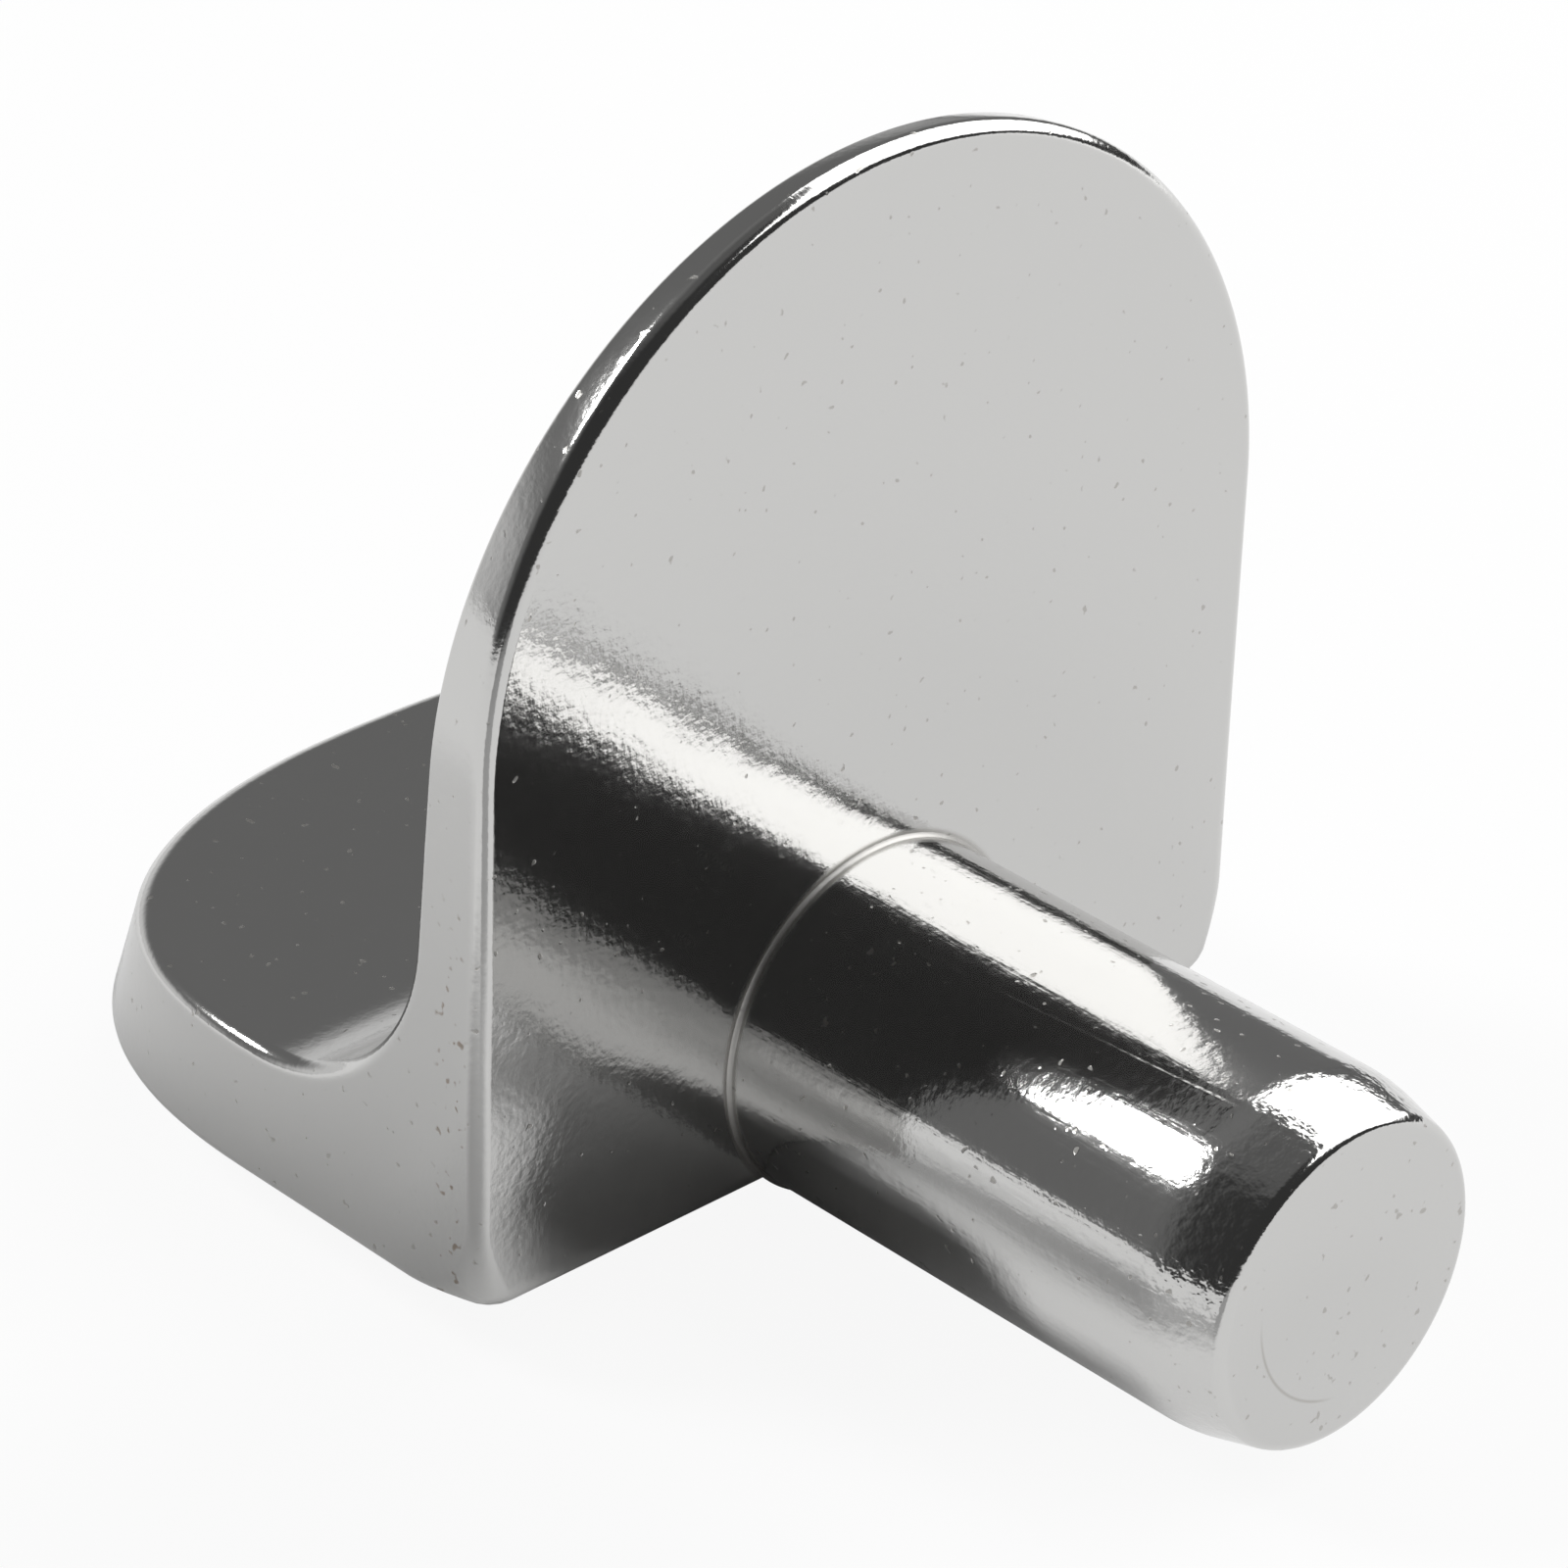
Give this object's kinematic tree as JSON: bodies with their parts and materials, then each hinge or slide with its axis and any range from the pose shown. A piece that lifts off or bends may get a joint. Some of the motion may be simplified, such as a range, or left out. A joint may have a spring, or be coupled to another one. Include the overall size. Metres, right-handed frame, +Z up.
{
  "type": "shelf support pin",
  "caption": "One-piece cast shelf support: a round pin for a shelf hole, an arched plate that bears on the cabinet side and a flat rounded tab that carries the shelf.",
  "frame": {"origin": "centre of the pin where its axis leaves the plate's wall face", "axes": "+Y along the pin into the cabinet side, -Y out along the tab, +Z up, X across the plate"},
  "size_m": [0.0136, 0.0193, 0.015],
  "materials": {
    "nickel": "nickel-plated zinc casting, polished, with fine pits and scratches"
  },
  "bodies": {
    "root": {"shelf_pin": "nickel"}
  },
  "joints": []
}
